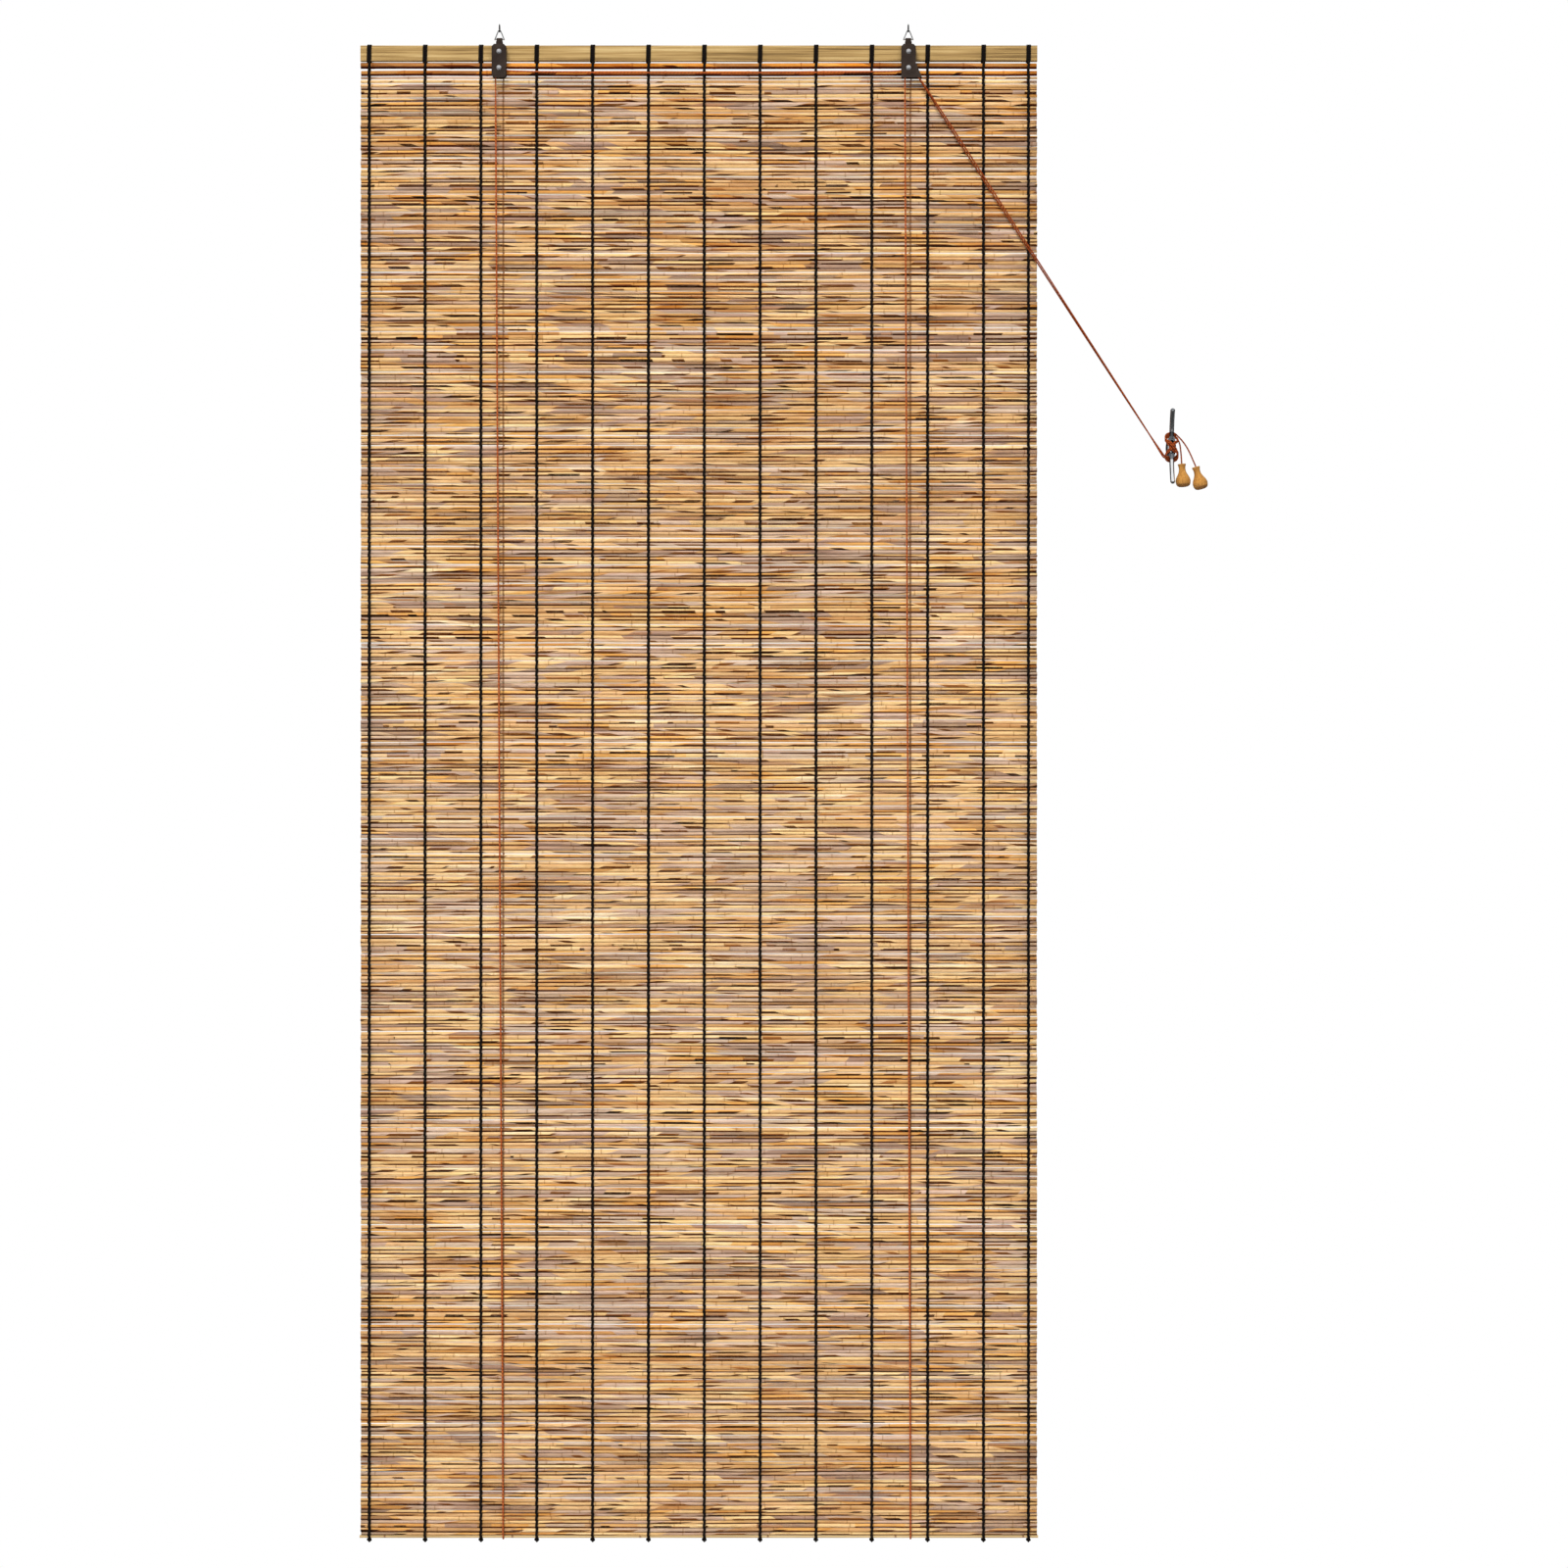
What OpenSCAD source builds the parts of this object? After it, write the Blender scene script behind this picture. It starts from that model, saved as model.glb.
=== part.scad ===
/* [Blind] */
// Width of the head lath and of the reed mat
blind_w = 1000; // [600:10:1600]
// Drop from the top of the lath to the lower edge
blind_h = 2205; // [1200:5:2600]
// Distance between the two screw hooks
hook_spacing = 604; // [300:2:1200]
// Sideways shift of the mat from the middle of the hooks
mat_shift = -7.5; // [-40:0.5:40]

/* [Head lath] */
// Height of the lath
lath_h = 23; // [15:0.5:40]
// Thickness of the lath
lath_t = 8; // [5:0.5:14]
// Top of the lath below the ceiling
lath_drop = 26; // [24:0.5:40]

/* [Reed mat] */
// Number of reeds laid one under the other
reed_n = 396; // [200:1:500]
// Thickness of the mat from front to back
reed_t = 5; // [3:0.1:9]
// Thickness of the mat between two reeds
web_t = 1.8; // [1:0.1:3]
// Height of the gap under the first reed
first_gap = 3; // [1:0.1:5]
// Height of the widest of the other gaps
gap_h = 1.9; // [0.5:0.1:2.5]
// Number of open gaps between reeds
gap_n = 104; // [10:1:110]
// Solid strip left beside the outer warps
gap_margin = 4; // [3:0.5:10]
// Height of the bottom stick
stick_h = 3.8; // [3:0.1:10]
// Overhang of the bottom stick at each side
stick_over = 1.2; // [0:0.1:5]

/* [Warps] */
// Number of warp cords
warp_n = 13; // [5:1:20]
// Distance of the outer warps from the edge
warp_edge = 13; // [8:0.5:30]
// Distance between two warps
warp_pitch = 82.5; // [40:0.5:140]
// Width of a warp cord
warp_w = 3.4; // [1.5:0.1:5]
// Thickness of a warp cord on the reeds
warp_t = 0.9; // [0.5:0.1:1.5]
// Width of a wrapping on the lath
wrap_w = 6.6; // [3:0.1:10]
// Thickness of a wrapping
wrap_t = 1.9; // [0.8:0.1:2.2]
// Radius of a knot under the bottom stick
knot_r = 3.5; // [2:0.1:6]

/* [Brackets] */
// Thickness of the sheet metal
sheet_t = 0.9; // [0.6:0.1:1.5]
// Width of a bracket
bracket_w = 21.4; // [18:0.2:30]
// Height of a bracket below its neck
bracket_h = 49.5; // [44:0.5:60]
// Width of the neck
neck_w = 10.2; // [8:0.2:12]
// Width of the rolled eye at the top of the neck
eye_w = 8.6; // [6:0.2:8.6]
// Cut on the upper corners
top_cut = 3.6; // [1:0.2:6]
// Cut on the lower corners
low_cut = 2.6; // [1:0.2:6]
// Reach of the right bracket's flare past its side
flare = 9; // [0:0.5:14]
// Height of the fixing rivet under the lath's top
rivet_drop = 11; // [8:0.5:14]
// Height of the axle rivet under the fixing rivet
axle_drop = 24; // [22:0.5:30]
// Radius of a rivet head
head_r = 3.6; // [2.5:0.1:5]
// Height of a rivet head
head_h = 1.5; // [0.8:0.1:2.5]

/* [Pulleys] */
// Radius of the axle
axle_r = 2; // [1.5:0.1:2.5]
// Running clearance on the axle and in the eye
run_clear = 0.06; // [0.02:0.01:0.1]
// Outer radius of a sheave
sheave_r = 6.6; // [5:0.1:8]
// Radius of the groove's floor
groove_r = 4; // [3:0.1:5]
// Width of a sheave
sheave_w = 3.6; // [3:0.1:5]
// Play beside a sheave
side_play = 0.4; // [0.2:0.05:0.6]

/* [Rings and hooks] */
// Radius of the ring's wire
ring_wire_r = 0.85; // [0.6:0.05:0.9]
// Half width of the ring between its wire's corners
ring_half = 6.9; // [6:0.1:9]
// Height of the ring between the centres of its wire
ring_rise = 13.5; // [11:0.1:20]
// Radius of the hook's wire
hook_wire_r = 1.1; // [0.8:0.05:1.4]
// Length of the hook's shank above the ceiling plane
shank_len = 3.6; // [3:0.1:12]
// Length of the shank's point
point_len = 2.4; // [1:0.1:4]

/* [Cords] */
// Diameter of the lift and pull cords
cord_d = 2; // [1.5:0.1:2.2]

/* [Cleat and tassels] */
// Length of the cleat from horn to horn
cleat_l = 111; // [80:1:140]
// Thickness of a horn
horn_w = 6.8; // [5:0.1:9]
// Reach of a horn's tip in front of its root
horn_sweep = 13; // [4:0.5:20]
// Width of the cleat's body
body_w = 13; // [10:0.2:16]
// Radius of a screw hole in the cleat
screw_r = 2.1; // [1.5:0.1:2.5]
// Distance between the screw holes
screw_spacing = 12; // [10:0.5:16]
// Height of a tassel
tassel_h = 34; // [25:0.5:50]
// Greatest radius of a tassel
tassel_r = 10.9; // [8:0.1:14]

/* [Hidden] */
$fn = 48;

// The rolled eyes turn on the lower bars of the rings, on the line y = 0, z = -swing_drop
eye_r = ring_wire_r + run_clear;
eye_out_r = eye_r + 1.25;
swing_drop = 17;
plate_front = -2.1;
plate_rear = plate_front + sheet_t;
inner_gap = 2*sheave_w + 3*side_play;
cover_rear = plate_front - inner_gap;
cover_front = cover_rear - sheet_t;

lath_top = -lath_drop;
lath_bot = lath_top - lath_h;
lath_front = plate_rear;
lath_rear = lath_front + lath_t;
mat_l = mat_shift - blind_w/2;
mat_r = mat_shift + blind_w/2;
hook_x = hook_spacing/2;
rivet_z = lath_top - rivet_drop;
axle_z = rivet_z - axle_drop;

// The mat hangs just behind the bracket plates
mat_front = plate_rear + 0.5;
mat_rear = mat_front + reed_t;
mat_mid = (mat_front + mat_rear)/2;
mat_top = lath_bot - 2.5;
mat_low = lath_top - blind_h;
stick_top = mat_low + stick_h;
// A warp that would meet a bracket stands beside it
bracket_room = bracket_w/2 + flare + wrap_w/2 + 2;
function beside(x) = let (h = x < 0 ? -hook_x : hook_x)
  abs(x - h) < bracket_room ? h + (x < h ? -bracket_room : bracket_room) : x;
warp_x = [for (i = [0:warp_n - 1])
  beside(i < warp_n - 1 ? mat_l + warp_edge + i*warp_pitch : mat_r - warp_edge)];

fix_r = 1.6;
cord_r = cord_d/2;
lay_r = groove_r + cord_r + 0.25;
rear_y = plate_front - side_play - sheave_w/2;
front_y = rear_y - sheave_w - side_play;
left_y = (rear_y + front_y)/2;

// The cleat sits on the wall plane beside the blind
wall_y = 11;
cleat_x = 690;
cleat_z = -620;
horn_rear = -4.6;
horn_front = horn_rear - horn_w;

function unit(v) = v/norm(v);
function tangent(p, i) = unit(p[min(i + 1, len(p) - 1)] - p[max(i - 1, 0)]);
function loop_tangent(p, i) = unit(p[(i + 1) % len(p)] - p[(i + len(p) - 1) % len(p)]);
function square_to(v, t) = unit(v - (v*t)*t);
function carried(p, i) = i == 0
  ? square_to([0.31, 0.17, 0.23], tangent(p, 0)) : square_to(carried(p, i - 1), tangent(p, i));
function tube_ring(c, n, b, r1, r2, sides) = [for (k = [0:sides - 1])
  c + n*r1*cos(360*k/sides) + b*r2*sin(360*k/sides)];
function skin(rings, sides) = [for (i = [0:rings - 2], k = [0:sides - 1])
  let (a = i*sides + k, b = i*sides + (k + 1) % sides)
  each [[a, b + sides, b], [a, a + sides, b + sides]]];
function loop_skin(rings, sides) = [for (i = [0:rings - 1], k = [0:sides - 1])
  let (a = i*sides + k, b = i*sides + (k + 1) % sides, j = ((i + 1) % rings - i)*sides)
  each [[a, b + j, b], [a, a + j, b + j]]];
function corner(x, y, r, from, steps = 4) = [for (i = [0:steps])
  [x + r*cos(from + 90*i/steps), y + r*sin(from + 90*i/steps)]];
function round_box(x0, x1, y0, y1, r) = concat(corner(x1 - r, y1 - r, r, 0),
  corner(x0 + r, y1 - r, r, 90), corner(x0 + r, y0 + r, r, 180), corner(x1 - r, y0 + r, r, 270));
function shifted(p, d) = [for (q = p) q + d];
function arc_over(x, y, from, to, steps) = [for (i = [0:steps])
  let (a = from + (to - from)*i/steps) [x + lay_r*cos(a), y, axle_z + lay_r*sin(a)]];

// A cord as a tube along its route, with a fatter stretch wherever fat gives a larger radius
module tube(p, fat = [], sides = 8) {
  n = len(p);
  polyhedron([for (i = [0:n - 1]) let (t = tangent(p, i), u = carried(p, i),
      r = i < len(fat) ? fat[i] : cord_r) each tube_ring(p[i], u, cross(t, u), r, r, sides)],
    concat([[for (k = [0:sides - 1]) k]], skin(n, sides),
      [[for (k = [sides - 1:-1:0]) (n - 1)*sides + k]]));
}

// Extrudes an outline drawn in the YZ plane along X, or one drawn in the XZ plane along Y
module along_x(x0, x1) translate([x0, 0, 0]) rotate([90, 0, 90]) linear_extrude(x1 - x0) children();
module along_y(y0, y1) translate([0, y1, 0]) rotate([90, 0, 0]) linear_extrude(y1 - y0) children();
module pin_y(x, z, r, y0, y1) translate([x, y1, z]) rotate([90, 0, 0]) cylinder(h = y1 - y0, r = r);

// Screw hook: threaded shank with a point, open eye below the ceiling
module hook(x) color("dimgray") translate([x, 0, 0]) {
  bend = eye_r + hook_wire_r + 0.1;
  mid = ring_rise - swing_drop + 0.1;
  union() {
    translate([0, 0, mid + bend - 0.2]) cylinder(h = 0.2 - mid - bend, r = hook_wire_r + 0.2);
    translate([0, 0, -0.2]) cylinder(h = shank_len + 0.2, r = hook_wire_r);
    translate([0, 0, shank_len]) cylinder(h = point_len, r1 = hook_wire_r, r2 = 0.2);
    translate([0, 0, mid]) rotate([0, -90, 0]) rotate([0, 0, -8]) rotate_extrude(angle = 268)
      translate([bend, 0]) circle(r = hook_wire_r*0.98, $fn = 24);
  }
}
module left_hook() hook(-hook_x);
module right_hook() hook(hook_x);

// Triangular wire ring, its lower bar in the bracket's eye, its crown bent round the hook
module ring(x) color("silver") translate([x, 0, -swing_drop]) {
  crown = hook_wire_r + ring_wire_r + 0.12;
  mid = ring_rise - crown;
  lean = acos(crown/norm([ring_half, mid])) - atan2(mid, ring_half);
  foot = [crown*cos(lean), 0, mid + crown*sin(lean)];
  leg = norm([ring_half - foot[0], foot[2]]);
  union() {
    translate([-ring_half, 0, 0]) rotate([0, 90, 0]) cylinder(h = 2*ring_half, r = ring_wire_r);
    for (s = [-1, 1]) {
      translate([s*ring_half, 0, 0]) rotate([0, -s*lean, 0]) cylinder(h = leg, r = ring_wire_r);
      translate([s*ring_half, 0, 0]) sphere(r = ring_wire_r*1.04, $fn = 24);
      translate([s*foot[0], 0, foot[2]]) sphere(r = ring_wire_r*1.04, $fn = 24);
    }
    translate([0, 0, mid]) rotate([90, 0, 0]) rotate([0, 0, lean]) rotate_extrude(angle = 180 - 2*lean)
      translate([crown, 0]) circle(r = ring_wire_r, $fn = 24);
  }
}
module left_ring() ring(-hook_x);
module right_ring() ring(hook_x);

// Outline of a bracket, seen from the front: left side straight, right side with an optional flare
function bracket_outline(f) = let (w = bracket_w/2, z0 = lath_top, z1 = lath_top - bracket_h) [
  [-w + top_cut, z0], [w - top_cut, z0], [w, z0 - top_cut], [w, axle_z + 7],
  each f > 0 ? [[w + f, z1]] : [[w, z1 + low_cut*1.6], [w - low_cut, z1]],
  each f > 0 ? [[-w, z1]] : [[-w + low_cut, z1], [-w, z1 + low_cut*1.6]], [-w, z0 - top_cut]];

// Rear plate, flat on the lath, its neck rolled to an eye round the ring's bar
module plate(x, f) color("saddlebrown") translate([x, 0, 0]) difference() {
  union() {
    along_y(plate_front, plate_rear) polygon(bracket_outline(f));
    along_y(plate_front, plate_rear) polygon([[-neck_w/2, lath_top - 1], [neck_w/2, lath_top - 1],
      [neck_w/2, -swing_drop - 4], [eye_w/2, -swing_drop - 2.5], [eye_w/2, -swing_drop],
      [-eye_w/2, -swing_drop], [-eye_w/2, -swing_drop - 2.5], [-neck_w/2, -swing_drop - 4]]);
    translate([-eye_w/2, 0, -swing_drop]) rotate([0, 90, 0]) cylinder(h = eye_w, r = eye_out_r);
  }
  translate([-eye_w, 0, -swing_drop]) rotate([0, 90, 0]) cylinder(h = 2*eye_w, r = eye_r);
  translate([-eye_w, -1.1, -swing_drop - 2.4]) cube([2*eye_w, 1.5, 1.7]);
  pin_y(0, rivet_z, fix_r + 0.05, plate_front - 1, plate_rear + 1);
  pin_y(0, axle_z, axle_r + 0.03, plate_front - 1, plate_rear + 1);
}
module left_plate() plate(-hook_x, 0);
module right_plate() plate(hook_x, flare);

// Pressed cover: flat front, side walls back to the plate, a slot where the cross cord passes
module cover(x, f, slot_side) color("saddlebrown") translate([x, 0, 0]) difference() {
  w = bracket_w/2;
  z1 = lath_top - bracket_h;
  union() {
    along_y(cover_front, cover_rear) polygon(bracket_outline(f));
    along_y(cover_front, plate_front) {
      polygon([[-w, lath_top - top_cut], [-w + sheet_t, lath_top - top_cut],
        [-w + sheet_t, z1 + low_cut*1.6], [-w, z1 + low_cut*1.6]]);
      polygon([[w - sheet_t, lath_top - top_cut], [w, lath_top - top_cut], [w, axle_z + 7],
        each f > 0 ? [[w + f, z1], [w + f - sheet_t, z1]]
          : [[w, z1 + low_cut*1.6], [w - sheet_t, z1 + low_cut*1.6]], [w - sheet_t, axle_z + 7]]);
    }
  }
  translate([slot_side*w - 2, cover_rear, axle_z - 6.4]) cube([4, inner_gap + 1, 8.4]);
  pin_y(0, rivet_z, fix_r + 0.05, cover_front - 1, cover_rear + 1);
  pin_y(0, axle_z, axle_r + 0.03, cover_front - 1, cover_rear + 1);
}
module left_cover() cover(-hook_x, 0, 1);
module right_cover() cover(hook_x, flare, -1);

// A domed rivet along Y, its head on the cover
module rivet(x, z, r, rear, tail) {
  dome = (head_r*head_r + head_h*head_h)/(2*head_h);
  translate([x, cover_front, z]) rotate([90, 0, 0]) union() {
    intersection() {
      translate([0, 0, head_h - dome]) sphere(r = dome, $fn = 64);
      cylinder(h = head_h + 1, r = head_r + 1);
    }
    translate([0, 0, cover_front - rear]) cylinder(h = rear - cover_front + 0.5, r = r);
    if (tail > 0) translate([0, 0, cover_front - rear - tail]) cylinder(h = tail, r = 2.8);
  }
}
module fixing_rivets() color("lightgray") for (s = [-1, 1]) rivet(s*hook_x, rivet_z, fix_r, lath_rear, 0.9);
module axle_rivets() color("lightgray") for (s = [-1, 1]) rivet(s*hook_x, axle_z, axle_r, plate_rear, 0);

// A grooved sheave that turns on the axle rivet
module sheave(x, y, w) color("dimgray") translate([x, y, axle_z]) rotate([90, 0, 0]) rotate_extrude()
  polygon([[axle_r + run_clear, -w/2], [sheave_r, -w/2], [sheave_r, -1.45], [groove_r, -1.3],
    [groove_r, 1.3], [sheave_r, 1.45], [sheave_r, w/2], [axle_r + run_clear, w/2]]);
module left_pulley() sheave(-hook_x, left_y, 2*sheave_w + side_play);
module right_front_sheave() sheave(hook_x, front_y, sheave_w);
module right_rear_sheave() sheave(hook_x, rear_y, sheave_w);

// Head lath with softened long edges, drilled for the rivets and the staples
staple_x = [-hook_x + 5.5, hook_x + 5.5];
staple_z = lath_top - 12;
staple_r = 0.6;
staple_half = 2;
module head_lath() color("burlywood") difference() {
  along_x(mat_l, mat_r) polygon(round_box(lath_front, lath_rear, lath_bot, lath_top, 0.8));
  for (s = [-1, 1]) pin_y(s*hook_x, rivet_z, fix_r + 0.05, lath_front - 1, lath_rear + 1);
  for (x = staple_x, s = [-1, 1])
    pin_y(x + s*staple_half, staple_z, staple_r + 0.02, lath_rear - 5, lath_rear + 1);
}

// Wire staples that hold the rear ends of the lift cords
module cord_staples() color("silver") for (x = staple_x) union() {
  for (s = [-1, 1]) pin_y(x + s*staple_half, staple_z, staple_r, lath_rear - 4.8, lath_rear + 3.3);
  translate([x - staple_half - 0.5, lath_rear + 3.3, staple_z]) rotate([0, 90, 0])
    cylinder(h = 2*staple_half + 1, r = staple_r + 0.05);
}

// Reeds of uneven thickness, the first two the stoutest: each reed's share, and where it starts in the drop
function girth(i) = i < 2 ? 1.85 - 0.1*i : 1 + 0.18*sin(131*i) + 0.12*sin(57*i);
girth_sum = [for (i = 0, s = 0; i <= reed_n; s = s + girth(i), i = i + 1) s];
reed_z = [for (s = girth_sum) mat_top + (stick_top - mat_top)*s/girth_sum[reed_n]];
// Outline of the mat in section: one ridge per reed on both sides, thin between the reeds
function ridge(s, i) = let (z = (reed_z[i] + reed_z[i + 1])/2, h = (reed_z[i] - reed_z[i + 1])*0.24,
    y = mat_mid + s*reed_t/2*min(1, 0.6 + 0.36*girth(i)))
  [[mat_mid + s*web_t/2, reed_z[i]], [y, z + h], [y, z - h]];
mat_side = [for (i = [0:reed_n - 1]) each ridge(-1, i)];
mat_back = [for (i = [reed_n - 1:-1:0]) let (q = ridge(1, i)) each [q[2], q[1], q[0]]];
mat_outline = concat(mat_side, [[mat_mid - web_t/2, stick_top], [mat_mid + web_t/2, stick_top]], mat_back);
// Open gaps: the first four under the first four reeds, the others spread unevenly over the drop
gap_row = [for (k = [0:gap_n - 1])
  k < 4 ? k + 1 : floor(4 + (k - 3)*(reed_n - 8)/(gap_n - 3) + 1.4*sin(97*k))];
function gap_size(k) = k == 0 ? first_gap : gap_h*(0.68 + 0.32*sin(53*k));
module reed_mat() color("tan") difference() {
  along_x(mat_l, mat_r) polygon(mat_outline);
  for (k = [0:gap_n - 1]) let (h = gap_size(k))
    translate([warp_x[0] + gap_margin, mat_front - 1, reed_z[gap_row[k]] - h/2])
      cube([warp_x[warp_n - 1] - warp_x[0] - 2*gap_margin, reed_t + 2, h]);
}

// Slim stick that ends the mat
module bottom_stick() color("wheat") along_x(mat_l - stick_over, mat_r + stick_over)
  polygon(round_box(mat_front, mat_rear, mat_low, stick_top, 1.5));

// Warp cords: down the front, under the stick and up the back, from wrapping to wrapping
module warp_cords() color("black") for (x = warp_x) along_x(x - warp_w/2, x + warp_w/2) polygon([
  [mat_front - warp_t, lath_bot - wrap_t], [mat_front, lath_bot - wrap_t], [mat_front, mat_low],
  [mat_rear, mat_low], [mat_rear, lath_bot - wrap_t], [mat_rear + warp_t, lath_bot - wrap_t],
  [mat_rear + warp_t, mat_low - warp_t], [mat_front - warp_t, mat_low - warp_t]]);

// Wrappings that tie the warps round the lath
module warp_wraps() color("black") for (x = warp_x) along_x(x - wrap_w/2, x + wrap_w/2) difference() {
  polygon(round_box(lath_front - wrap_t, lath_rear + wrap_t, lath_bot - wrap_t, lath_top + wrap_t, 2.6));
  polygon([[lath_front, lath_bot], [lath_rear, lath_bot], [lath_rear, lath_top], [lath_front, lath_top]]);
}

// Knots that end the warps, flat where they meet the cord, drawn to a short tip below
module warp_knots() color("black") for (x = warp_x) translate([x, mat_mid, mat_low - warp_t])
  rotate_extrude($fn = 20) polygon([[0, 0], [knot_r*0.7, 0], [knot_r, -knot_r*0.45],
    [knot_r*0.9, -knot_r*0.95], [knot_r*0.45, -knot_r*1.35], [knot_r*0.2, -knot_r*1.65], [0, -knot_r*1.7]]);

// Where the cords leave the right bracket, and where they reach the cleat
aim_x = 676;
aim_z = -629;
leave = 90 - acos((aim_x - hook_x)/norm([aim_x - hook_x, aim_z - axle_z]));
leave_x = hook_x + lay_r*cos(leave);
leave_z = axle_z + lay_r*sin(leave);
run_way = unit([aim_x - leave_x, 0, aim_z - leave_z]);
mouth = 26;

// Rear end with its knot, rear fall, turn under the stick and front fall up to the pulley
fall_fat = [0.6, 1.7, 2.1, 1.7];
turn_r = 4.7;
function under(x) = [for (a = [0:30:180]) [x, mat_mid + turn_r*cos(a), mat_low + 3.4 - turn_r*sin(a)]];
function fall(x, y, low) = concat([[x + 5.5, 9, -29.6], [x + 5.5, 9, -30.6], [x + 5.5, 9, -32.4],
  [x + 5.5, 9, -34.2], [x + 5.5, 8.3, -35.8], [x + 5.5, 8.2, -42], [x + 5.5, 8.1, -48],
  [x + 5.5, 7.6, -54], [x + 5.4, 7.2, -62], [x + low, 7.1, -100], [x + low, 6.6, -1100],
  [x + low, 6.5, mat_low + 40]], under(x + low), [[x + low - 0.1, -2.9, mat_low + 40],
  [x + low/2 - 2.7, y/2 - 1.45, -1100], [x - lay_r, y, -84], [x - lay_r, y, axle_z - 4]]);
// Over the pulley and out through the slot of the cover
slot_a = 48;
cross_run = [[-hook_x + 9, left_y, axle_z - 2.1], [-hook_x + 11.6, left_y, axle_z - 3.2],
  [-hook_x + 18, left_y, axle_z - 3.9], [-hook_x + 60, left_y + 0.3, axle_z - 5],
  [-160, left_y + 0.7, axle_z - 6], [0, left_y + 1.1, axle_z - 6.4], [160, rear_y - 0.4, axle_z - 5.8],
  [hook_x - 60, rear_y - 0.2, axle_z - 4.8], [hook_x - 18, rear_y, axle_z - 3.9],
  [hook_x - 11.6, rear_y, axle_z - 3.2], [hook_x - 9, rear_y, axle_z - 2.1]];
left_end = [leave_x, rear_y, leave_z];
right_end = [leave_x, front_y, leave_z];
left_route = concat(fall(-hook_x, left_y, 5.5), arc_over(-hook_x, left_y, 180, slot_a, 7), cross_run,
  arc_over(hook_x, rear_y, 180 - slot_a, leave, 6), [left_end + run_way*6, left_end + run_way*mouth]);
right_route = concat(fall(hook_x, front_y, 3.2), arc_over(hook_x, front_y, 180, leave, 8),
  [right_end + run_way*6, right_end + run_way*mouth]);
module left_lift_cord() color("chocolate") tube(left_route, fall_fat);
module right_lift_cord() color("chocolate") tube(right_route, fall_fat);

// The two pull cords, from under the right bracket to the figure of eight
module pull_cords() color("chocolate") {
  tube([left_end + run_way*(mouth + 0.3), left_end + run_way*(mouth + 40), [500, -3.9, -358],
    [660.8, -3.8, -603.9], [676.9, -3.8, -628.4], [680.1, -3.7, -632.7], [684.5, -3.7, -636.4]]);
  tube([right_end + run_way*(mouth + 0.3), right_end + run_way*(mouth + 40), [500, -6.4, -358],
    [659.2, -4.8, -605], [675.1, -3.9, -629.6], [678.5, -3.7, -634.4], [684, -3.7, -638.6]]);
}

// Figure of eight round the cleat: behind the horns, twice across the front
turn_half = [[-10, -8.2, -11.8], [-8.4, -4.3, -15.2], [-4.5, -2.7, -17.8], [0, -2.7, -18.8],
  [4.5, -2.7, -17.8], [8.4, -4.3, -15.2], [10, -8.2, -11.8]];
turn_under = [[8.2, -11.9, -8.8], [4.4, -13.4, -5.2], [0, -13.7, 0], [-4.4, -13.4, 5.2], [-8.2, -11.9, 8.8]];
turn_over = [[8.2, -12.8, 8.8], [4.4, -16.8, 5.2], [0, -18.2, 0], [-4.4, -16.8, -5.2], [-8.2, -12.8, -8.8]];
turn_upper = [for (q = turn_half) [q[0], q[1], -q[2]]];
turn_route = shifted(concat(turn_half, turn_under, turn_upper, turn_over), [cleat_x, 0, cleat_z]);
turn_wide = 2.7;
turn_deep = 2.1;
module cleat_turns() color("sienna") {
  n = len(turn_route);
  polyhedron([for (i = [0:n - 1]) let (t = loop_tangent(turn_route, i), u = unit(cross([0, 1, 0], t)))
    each tube_ring(turn_route[i], u, cross(t, u), turn_wide, turn_deep, 10)], loop_skin(n, 10));
}

// Tails from the upper turn down to the tassels, ending in a knot inside each
lean_1 = 4.5;
lean_2 = 15;
top_1 = [705.8, -1.2, -644.3];
top_2 = [726.5, -1.2, -648.6];
function hang(lean) = [sin(lean), 0, -cos(lean)];
tail_fat = [1, 1, 1, 1, 1, 1, 1, 1, 1, 1.8, 2.2, 1.8];
function tail_end(top, lean) = [top + hang(lean)*2, top + hang(lean)*25.6, top + hang(lean)*26,
  top + hang(lean)*27.6, top + hang(lean)*29.2];
module left_tail() color("chocolate") tube(concat([[695.6, -1.7, -604.2], [698.4, -1.5, -606.2],
  [700.6, -1.3, -609.4], [702.8, -1.2, -615], [704.4, -1.2, -626], [705.4, -1.2, -638],
  top_1 - hang(lean_1)], tail_end(top_1, lean_1)), tail_fat);
module right_tail() color("chocolate") tube(concat([[696.4, -1.7, -601.6], [699.8, -1.7, -603.2],
  [706, -1.6, -609.6], [713, -1.5, -619.4], [718.6, -1.3, -630], [722.8, -1.2, -639.6],
  top_2 - hang(lean_2)], tail_end(top_2, lean_2)), tail_fat);

// Turned tassel: flared rim, slim neck, full belly, bored for the cord, hollow below for its knot
module tassel(top, lean) color("peru") translate(top) rotate([0, -lean, 0]) rotate_extrude() {
  b = tassel_r;
  h = tassel_h;
  polygon([[1.3, -0.6], [3.8, -1], [5.8, 0], [5.4, -1.7], [4.8, -4.2], [4.7, -7], [5.1, -0.3*h],
    [6.2, -0.4*h], [8, -0.5*h], [0.9*b, -0.6*h], [b, -0.71*h], [b, -0.79*h], [0.94*b, -0.88*h],
    [0.8*b, -0.95*h], [0.6*b, -0.985*h], [4, -h], [3.4, -h], [3.4, -25], [1.3, -25]]);
}
module left_tassel() tassel(top_1, lean_1);
module right_tassel() tassel(top_2, lean_2);

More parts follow.
